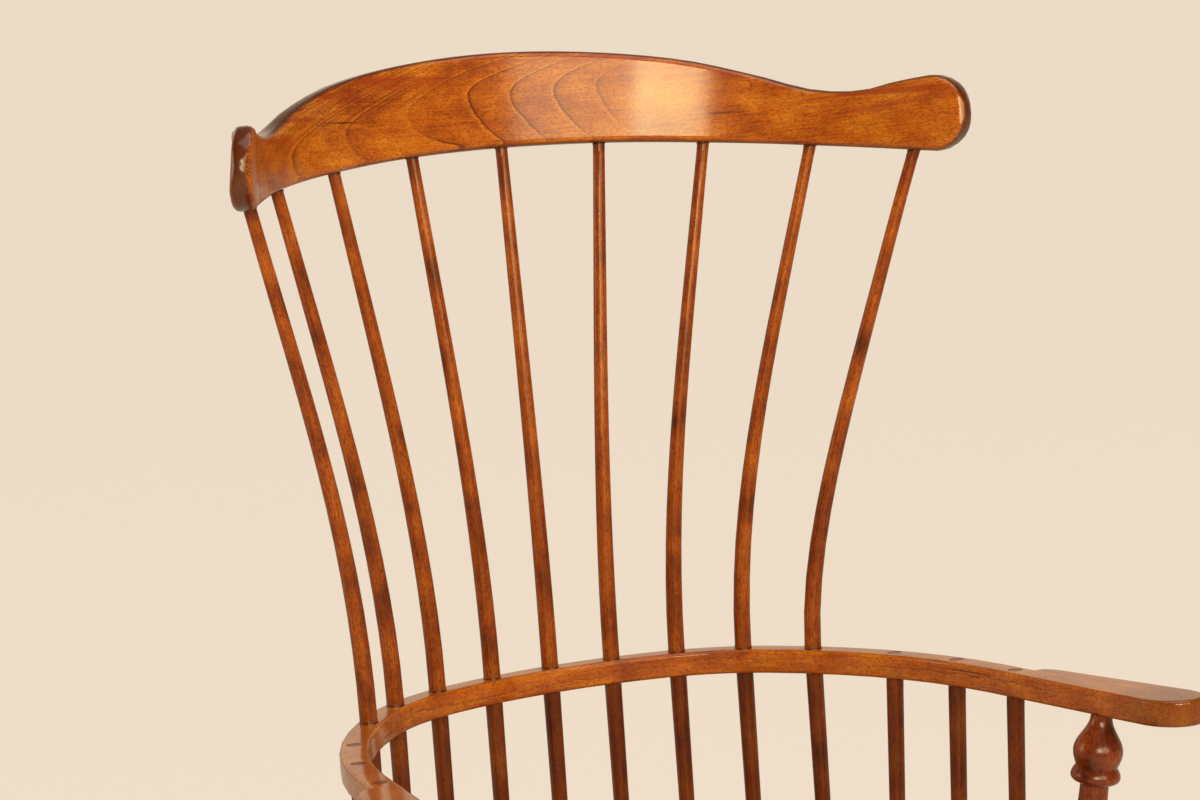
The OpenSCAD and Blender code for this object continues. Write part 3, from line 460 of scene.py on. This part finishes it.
def ring_depth(node, cut, along, across, through, noise):
    """Depth in the tree that the growth rings follow: they are shells round a pith below the face, and
    cut flat they show as arches, one inside another. Then how far left of the figure's turn a point
    lies, and how high over its middle line."""
    past = node("ShaderNodeMath", {0: along, 1: cut["turn"] * MM}, operation="ADD")
    left = node("ShaderNodeMath", {0: past, 1: 0.0}, operation="MINIMUM")
    level = node("ShaderNodeMath", {0: left, 1: -cut["lean"], 2: across}, operation="MULTIPLY_ADD")
    height = node("ShaderNodeMath", {0: level, 1: cut["middle"] * MM}, operation="SUBTRACT")
    fan = [node("ShaderNodeMath", {0: height, 1: pull}, operation="MULTIPLY") for pull in cut["fan"]]
    spread = node("ShaderNodeMath", {0: fan[0], 1: fan[1]}, operation="MAXIMUM")
    below = node("ShaderNodeMath", {0: through, 1: cut["pith"] * MM}, operation="ADD")
    shell = node("ShaderNodeCombineXYZ", {0: spread, 1: below})
    depth = node("ShaderNodeVectorMath", {0: shell}, operation="LENGTH").outputs["Value"]
    for source, share in ((along, -cut["climb"]), (left, cut["ease"]),
                          (noise["wander"], cut["wander"] * MM), (noise["ragged"], cut["ragged"] * MM)):
        depth = node("ShaderNodeMath", {0: source, 1: share, 2: depth}, operation="MULTIPLY_ADD")
    return depth, left, height


def lift_round_knots(node, cut, grain, noise, depth):
    """Pin knots lift the rings round them into small ovals. Gives the depth with them and their places."""
    knots = []
    for knot_along, knot_across, size, lift in cut["knots"]:
        centre = (knot_along / size / KNOT_LONG, knot_across / size, 0)
        stretch = (1 / (KNOT_LONG * size * MM), 1 / (size * MM), 0)
        offset = node("ShaderNodeVectorMath", {0: grain, 1: stretch}, operation="MULTIPLY")
        far = node("ShaderNodeVectorMath", {0: offset, 1: centre}, operation="DISTANCE").outputs["Value"]
        uneven = node("ShaderNodeMath", {0: noise["swell"], 1: NOISE_MIDDLE}, operation="SUBTRACT")
        far = node("ShaderNodeMath", {0: uneven, 1: KNOT_UNEVEN, 2: far}, operation="MULTIPLY_ADD")
        knots.append(node("ShaderNodeMapRange", {"Value": far, "From Min": 1.0, "From Max": 0.0},
                          interpolation_type="SMOOTHSTEP"))
        depth = node("ShaderNodeMath", {0: knots[-1], 1: -lift * MM, 2: depth}, operation="MULTIPLY_ADD")
    return depth, knots


def ring_lines(node, cut, along, depth, left, height, knots, noise):
    """How strongly the dark late wood lines and the pale halo beside them show."""
    count = node("ShaderNodeMath", {0: depth, 1: cut["ring"] * MM}, operation="DIVIDE")
    phase = node("ShaderNodeMath", {0: count}, operation="FRACT")
    line = node("ShaderNodeValToRGB", {"Fac": phase}, stops=LATE_WOOD)
    halo = node("ShaderNodeValToRGB", {"Fac": phase}, stops=HALO)
    shown = node("ShaderNodeValToRGB", {"Fac": noise["fade"]}, stops=LINES_SHOWN)
    plain = node("ShaderNodeMapRange", {
        "Value": along, "From Min": cut["figure_end"] * MM,
        "From Max": (cut["figure_end"] + FIGURE_FADE) * MM, "To Min": 1.0, "To Max": LINES_LEFT})
    strength = node("ShaderNodeMath", {0: shown, 1: plain}, operation="MULTIPLY")
    for knot in knots:
        faint = node("ShaderNodeMath", {0: knot, 1: KNOT_LINES}, operation="MULTIPLY")
        strength = node("ShaderNodeMath", {0: strength, 1: faint}, operation="MAXIMUM")
    if cut["fine"]:
        # Left of the turn and above the middle line the rings are bold, with thinner lines between them
        finer = node("ShaderNodeMath", {0: count, 1: cut["fine"]}, operation="MULTIPLY")
        finer = node("ShaderNodeMath", {0: finer}, operation="FRACT")
        thin = node("ShaderNodeValToRGB", {"Fac": finer}, stops=THIN_LINE)
        past = node("ShaderNodeMapRange", {"Value": left, "From Min": 0.0, "From Max": FINE_LEFT * MM})
        above = node("ShaderNodeMapRange", {
            "Value": height, "From Min": FINE_HEIGHT[0] * MM, "From Max": FINE_HEIGHT[1] * MM})
        where = node("ShaderNodeMath", {0: past, 1: above}, operation="MULTIPLY")
        strength = node("ShaderNodeMath", {0: strength, 1: where}, operation="MAXIMUM")
        thin = node("ShaderNodeMath", {0: thin, 1: where}, operation="MULTIPLY")
        line = node("ShaderNodeMath", {0: line, 1: thin}, operation="MAXIMUM")
    line = node("ShaderNodeMath", {0: line, 1: strength}, operation="MULTIPLY")
    line = node("ShaderNodeMath", {0: line, 1: cut["lines"]}, operation="MULTIPLY")
    halo = node("ShaderNodeMath", {0: halo, 1: strength}, operation="MULTIPLY")
    halo = node("ShaderNodeMath", {0: halo, 1: cut["lines"] * HALO_SHARE}, operation="MULTIPLY")
    return line, halo


def stained_maple(name, tones, cut, darker=(), coat_roughness=0.1, coat=1.0, boards=0, blushes=False):
    """Hard maple, sanded fine, wiped with amber stain and sprayed with clear gloss lacquer. The stain
    gives the eye an uneven orange brown with thin red-brown growth lines, the lacquer a clean sheen.

    boards is the width in mm of the boards that a plank is glued up from. blushes adds red brown along the
    piece's top edge. The piece's attributes hold its wood coordinates (grain) and
    its distances from three edges (edges), in metres."""
    material, node = new_finish(name)
    grain = node("ShaderNodeAttribute", attribute_name="grain").outputs["Vector"]
    edges = node("ShaderNodeAttribute", attribute_name="edges").outputs["Vector"]
    edges = node("ShaderNodeSeparateXYZ", {0: edges}).outputs
    along, across, through = node("ShaderNodeSeparateXYZ", {0: grain}).outputs
    if boards:
        # Each board has its own rings and lies at its own place along the tree
        edge = node("ShaderNodeMath", {0: across, 1: boards * MM}, operation="SNAP")
        own = node("ShaderNodeMath", {0: across, 1: edge}, operation="SUBTRACT")
        across = node("ShaderNodeMath", {0: own, 1: boards / 2 * MM}, operation="SUBTRACT")
        along = node("ShaderNodeMath", {0: edge, 1: BOARD_STAGGER, 2: along}, operation="MULTIPLY_ADD")
        grain = node("ShaderNodeCombineXYZ", {0: along, 1: across, 2: through})
    noise = wood_noise(node, grain)
    depth, left, height = ring_depth(node, cut, along, across, through, noise)
    depth, knots = lift_round_knots(node, cut, grain, noise, depth)
    line, halo = ring_lines(node, cut, along, depth, left, height, knots, noise)

    # Colour: the stain's tone by fibres and blotches, then halo, lines, flecks, specks and streaks over it,
    # then the darkening by edges, partly stain and partly painted shade
    colours = [srgb(code) for code in tones]
    deep, _, light = colours
    fine = node("ShaderNodeMath", {0: noise["fibres"], 1: FIBRE_TONE}, operation="MULTIPLY")
    tone = node("ShaderNodeMath", {0: noise["blotch"], 1: BLOTCH_TONE, 2: fine}, operation="MULTIPLY_ADD")
    base_colour = node("ShaderNodeValToRGB", {"Fac": tone}, stops=tuple(zip(TONE_STOPS, colours)))
    base_colour = node("ShaderNodeMix", {0: halo, 6: base_colour, 7: light}, data_type="RGBA")
    base_colour = node("ShaderNodeMix", {0: line, 6: base_colour, 7: srgb(RING_BROWN)}, data_type="RGBA")
    for kind, stops, colour in (("flecks", FLECKS, deep), ("specks", SPECKS, srgb(END_GRAIN_AND_SHADE_BROWN)),
                                ("streak", STREAKS, srgb(STREAK_BROWN))):
        share = node("ShaderNodeValToRGB", {"Fac": noise[kind]}, stops=stops)
        base_colour = node("ShaderNodeMix", {0: share, 6: base_colour, 7: colour}, data_type="RGBA")
    if blushes:
        start, end, amount = BLUSH_EDGE
        near = node("ShaderNodeMapRange", {
            "Value": edges["X"], "From Min": start * MM, "From Max": end * MM, "To Max": amount})
        blush = node("ShaderNodeValToRGB", {"Fac": noise["blush"]}, stops=BLUSH)
        share = node("ShaderNodeMath", {0: near, 1: blush}, operation="MULTIPLY")
        base_colour = node("ShaderNodeMix", {0: share, 6: base_colour, 7: srgb(RED_BROWN)}, data_type="RGBA")
    # Darkening by edge distance: partly stain in end grain, partly painted shade on edges turned from the
    # lamps, under the arm rail and next to joints
    for axis, start, end, amount in darker:
        share = node("ShaderNodeMapRange", {
            "Value": edges[axis], "From Min": start * MM, "From Max": end * MM,
            "To Min": 0.0, "To Max": amount}, interpolation_type="SMOOTHSTEP")
        base_colour = node("ShaderNodeMix", {0: share, 6: base_colour, 7: srgb(END_GRAIN_AND_SHADE_BROWN)}, data_type="RGBA")

    pores = node("ShaderNodeBump", {"Height": noise["fibres"], "Strength": 0.25, "Distance": FIBRE_RELIEF})
    sag = node("ShaderNodeBump", {"Height": noise["swell"], "Strength": 0.35, "Distance": LACQUER_SWELL})
    surface = node("ShaderNodeBsdfPrincipled", {
        "Base Color": base_colour, "Roughness": 0.45, "Specular IOR Level": 0.1, "IOR": 1.5,
        "Coat Weight": coat, "Coat Roughness": coat_roughness, "Coat IOR": 1.5,
        "Normal": pores, "Coat Normal": sag})
    node("ShaderNodeOutputMaterial", {"Surface": surface})
    return material


def pooled_lacquer():
    """Lacquer and stain that pooled in a corner and dried there: a nearly black, glassy line."""
    material, node = new_finish("pooled_lacquer")
    place = node("ShaderNodeTexCoord").outputs["Object"]
    cloud = node("ShaderNodeTexNoise", {"Vector": place, "Scale": CLOUDS_PER_METRE, "Detail": 2.0})
    base_colour = node("ShaderNodeValToRGB", {"Fac": cloud},
                 stops=((0.4, srgb(LINE_BROWN)), (0.65, srgb(END_GRAIN_AND_SHADE_BROWN))))
    surface = node("ShaderNodeBsdfPrincipled", {
        "Base Color": base_colour, "Roughness": 0.3, "Specular IOR Level": 0.3,
        "Coat Weight": 1.0, "Coat Roughness": 0.12})
    node("ShaderNodeOutputMaterial", {"Surface": surface})
    return material


def smooth(piece, angle=34, weld_gap=0.004 * MM):
    """Round the shading over the piece's facets and keep its real edges, which turn by more than angle."""
    mesh = piece.data
    if "custom_normal" in mesh.attributes:
        mesh.attributes.remove(mesh.attributes["custom_normal"])
    mesh.polygons.foreach_set("use_smooth", [True] * len(mesh.polygons))
    weld = piece.modifiers.new("weld", "WELD")
    weld.merge_threshold = weld_gap
    split = piece.modifiers.new("edges", "EDGE_SPLIT")
    split.split_angle = math.radians(angle)
    split.use_edge_sharp = False
    piece.modifiers.new("normals", "WEIGHTED_NORMAL").keep_sharp = True


def dress(piece, material):
    piece.data.materials.clear()
    piece.data.materials.append(material)
    piece.data.polygons.foreach_set("material_index", [0] * len(piece.data.polygons))
    smooth(piece)


# Joints

def over_arm(points, drop=0.0):
    """Height over the arm rail's top face, or over a face that lies parallel to it by drop below."""
    return (points - arm_middle) @ arm_line[1] + drop


def over_crest_edge(points, lower_edge):
    """Height over the crest's lower edge, which lies at lower_edge there."""
    return (points - crest_middle) @ crest_line[1] - lower_edge


def round_piece_edges(points):
    """Heights over the arm rail, the crest's lower edge and the seat's deck. The second is for a piece
    that doesn't reach the crest."""
    return np.column_stack([over_arm(points), np.full(len(points), FAR_OFF), over_arm(points, SEAT_DROP)])


def round_about(ahead, around=40):
    """Directions that point away from an axis, all round it."""
    side = np.cross(ahead, (1, 0, 0))
    side /= np.linalg.norm(side)
    turn = np.linspace(0, 2 * math.pi, around, endpoint=False)[:, None]
    return np.cos(turn) * np.cross(side, ahead) + np.sin(turn) * side


def joint_loop(path, radii, height_of, square):
    """Where a round piece passes through a face: points round the joint and the directions away from
    the piece. height_of gives a point's height over the face, and square is the face's direction."""
    heights = height_of(path)
    k = int(np.where(np.diff(np.sign(heights)))[0][-1])
    share = heights[k] / (heights[k] - heights[k + 1])
    centre = path[k] + share * (path[k + 1] - path[k])
    radius = radii[k] + share * (radii[k + 1] - radii[k])
    ahead = (path[k + 1] - path[k]) / np.linalg.norm(path[k + 1] - path[k])
    out = round_about(ahead)
    rim = centre + radius * out
    rim -= ((rim - centre) @ square / (ahead @ square))[:, None] * ahead
    return rim, out


def bead(rim, out, square, radius, around=8):
    """Rings of points round a thin closed bead that lies along the rim."""
    turns = np.linspace(0, 2 * math.pi, around, endpoint=False)
    return np.array([[point + radius * (math.cos(turn) * away + math.sin(turn) * square) for turn in turns]
                     for point, away in zip(rim, out)])


def shoulder_rings(path, radii):
    """Rings of points that carry a short spindle at its full thickness up to the arm rail's underside:
    an outer and an inner wall, each from below its shoulder to the rail."""
    heights = over_arm(path, ARM_THICK)
    whole = heights < -SHOULDER
    # The sleeve goes on with the taper of the last few rings below the shoulder
    taper = np.polyfit(heights[whole][-6:], radii[whole][-6:], 1)
    ahead = (path[-1] - path[0]) / np.linalg.norm(path[-1] - path[0])
    out = round_about(ahead)
    rings = []
    for height, inset in ((-SHOULDER, 0), (-SHOULDER / 2, 0), (SHOULDER_SUNK, 0),
                          (SHOULDER_SUNK, SHOULDER_WALL), (-SHOULDER, SHOULDER_WALL)):
        rim = path[0] + (np.polyval(taper, height) + SHOULDER_PROUD - inset) * out
        rings.append(rim + ((height - over_arm(rim, ARM_THICK)) / (ahead @ arm_line[1]))[:, None] * ahead)
    return np.array(rings)


def joint_trim(name, grids):
    """One piece of closed tubes. Each grid holds the rings of points round one tube, last ring next to
    the first."""
    vertices, faces = [], []
    for grid in grids:
        first, (rings, around) = len(vertices), grid.shape[:2]
        vertices += [tuple(point) for ring in grid for point in ring]
        for i in range(rings):
            for j in range(around):
                i_next, j_next = (i + 1) % rings, (j + 1) % around
                corners = (i, j), (i, j_next), (i_next, j_next), (i_next, j)
                faces.append([first + a * around + b for a, b in corners])
    mesh = bpy.data.meshes.new(name)
    mesh.from_pydata(vertices, [], faces)
    piece = new_object(name, mesh)
    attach(piece, "root")
    return piece


def lay_lacquer_lines(beads):
    piece = joint_trim("lacquer_lines", beads)
    piece.data.polygons.foreach_set("use_smooth", [True] * len(piece.data.polygons))
    piece.data.materials.append(pooled_lacquer())


def lay_shoulders(shoulders, material):
    """The short spindles' upper ends, from their rings of points and wood coordinates."""
    piece = joint_trim("spindle_shoulders", [rings for rings, _ in shoulders])
    store(piece, "grain", np.vstack([grain for _, grain in shoulders]))
    store(piece, "edges", round_piece_edges(piece_points(piece)))
    dress(piece, material)


set_camera()
light_studio()
lay_floor()

# Flat sawn board, bent: arches one inside another, red brown along the top edge, and painted shade on the
# top edge and the ends, which also take more stain in their end grain
crest_maple = stained_maple("flat_sawn_maple_crest", AMBER, CREST_CUT, CREST_EDGES, coat_roughness=0.17,
                            blushes=True)
# Straight strip, bent: long soft lines, darker at the hands' ends
rail_maple = stained_maple("bent_maple_rail", AMBER, RAIL_CUT, RAIL_EDGES, coat_roughness=0.13, coat=0.9)
# Shaved from straight wood: fine lines from end to end under a thinner coat, darker towards and below the arm
# rail from stain and painted shade, and painted shade next to the crest and the seat
spindle_maple = stained_maple("straight_maple_spindle", BROWN, STRAIGHT_CUT, SPINDLE_STAIN_AND_SHADE,
                              coat_roughness=0.2, coat=0.55)
# Turned: the tool cuts across the grain everywhere, so these drink the most stain
turned_maple = stained_maple("turned_maple", RUSSET, TURNED_CUT, coat_roughness=0.2, coat=0.9)
# Boards glued edge to edge and carved: broad quiet figure, dulled a little by use
seat_maple = stained_maple("plank_maple_seat", HONEY, SEAT_CUT, coat_roughness=0.28, coat=0.6,
                           boards=SEAT_BOARD)

arm_middle = np.array((0, BACK_Y, ARM_HEIGHT))
arm_line = rail_line(walk(ARM_BENDS, ARM_RUN_OUT), arm_middle, RAKE)
crest_middle = arm_middle + (0, CREST_BACK, CREST_RISE)
crest_line = rail_line(walk(CREST_BENDS, CREST_RUN_OUT), crest_middle, CREST_TILT)
seat_line = (np.array([(0, -SEAT_REACH, SEAT_HEIGHT), (0, SEAT_REACH, SEAT_HEIGHT)]),
             np.array((1.0, 0, 0)))

crest_places, crest_low, crest_high = edge_heights(
    wood_coordinates(piece_points(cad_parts["crest_rail"]), *crest_line)[0])

beads, shoulders = [], []
for seed, (name, piece) in enumerate(sorted(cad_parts.items())):
    points = piece_points(piece)
    shift = np.array((np.random.default_rng(seed).uniform(-LOG_REACH, LOG_REACH), 0, 0))
    edges = round_piece_edges(points)
    if name == "crest_rail":
        (grain, through), finish, shift = wood_coordinates(points, *crest_line), crest_maple, 0
        low, high = (np.interp(grain[:, 0], crest_places, heights) for heights in (crest_low, crest_high))
        # How far the surface turns from the board's face: the ears' end grain takes more stain there, and it
        # carries painted shade on the edges and ends
        turned_away = 1 - np.abs((piece_points(piece, "normal") * through).sum(1))
        edges = np.column_stack([high - grain[:, 1], grain[:, 1] - low, turned_away * MM])
        piece = turn_in_left_ear(piece, grain, through)
    elif name == "arm_rail" or name.startswith("hand_block"):
        (grain, _), finish = wood_coordinates(points, *arm_line), rail_maple
        behind_hands = points[:, 1] - cad_box[0][1]
        edges = np.column_stack([-over_arm(points), over_arm(points, ARM_THICK), behind_hands])
    elif name == "seat":
        (grain, _), finish = wood_coordinates(points, *seat_line), seat_maple
    else:
        path, up, radii = turned_line(points)
        grain = wood_coordinates(points, path, up)[0]
        finish = spindle_maple if "spindle" in name else turned_maple
        if "spindle" in name or "post" in name:
            for drop, radius in ((ARM_THICK, ARM_UNDER_BEAD), (SEAT_DROP, DECK_BEAD)):
                rim, out = joint_loop(path, radii, partial(over_arm, drop=drop), arm_line[1])
                if name.startswith("short") and drop == ARM_THICK:
                    rings = shoulder_rings(path, radii)
                    own = wood_coordinates(rings.reshape(-1, 3), path, up)[0]
                    shoulders.append((rings, own + shift))
                    rim = rings[RING_AT_RAIL]
                beads.append(bead(rim, out, arm_line[1], radius))
        if name.startswith("long"):
            rim, out = joint_loop(path, radii, over_arm, arm_line[1])
            beads.append(bead(rim, out, arm_line[1], ARM_TOP_BEAD))
            entry = wood_coordinates(path[-2:-1], *crest_line)[0][0, 0]
            lower_edge = np.interp(entry, crest_places, crest_low)
            edges[:, 1] = over_crest_edge(points, lower_edge)
            rim, out = joint_loop(path, radii, partial(over_crest_edge, lower_edge=lower_edge), crest_line[1])
            beads.append(bead(rim, out, crest_line[1], CREST_BEAD))
    store(piece, "grain", grain + shift)
    store(piece, "edges", edges)
    dress(piece, finish)
lay_shoulders(shoulders, spindle_maple)
lay_lacquer_lines(beads)
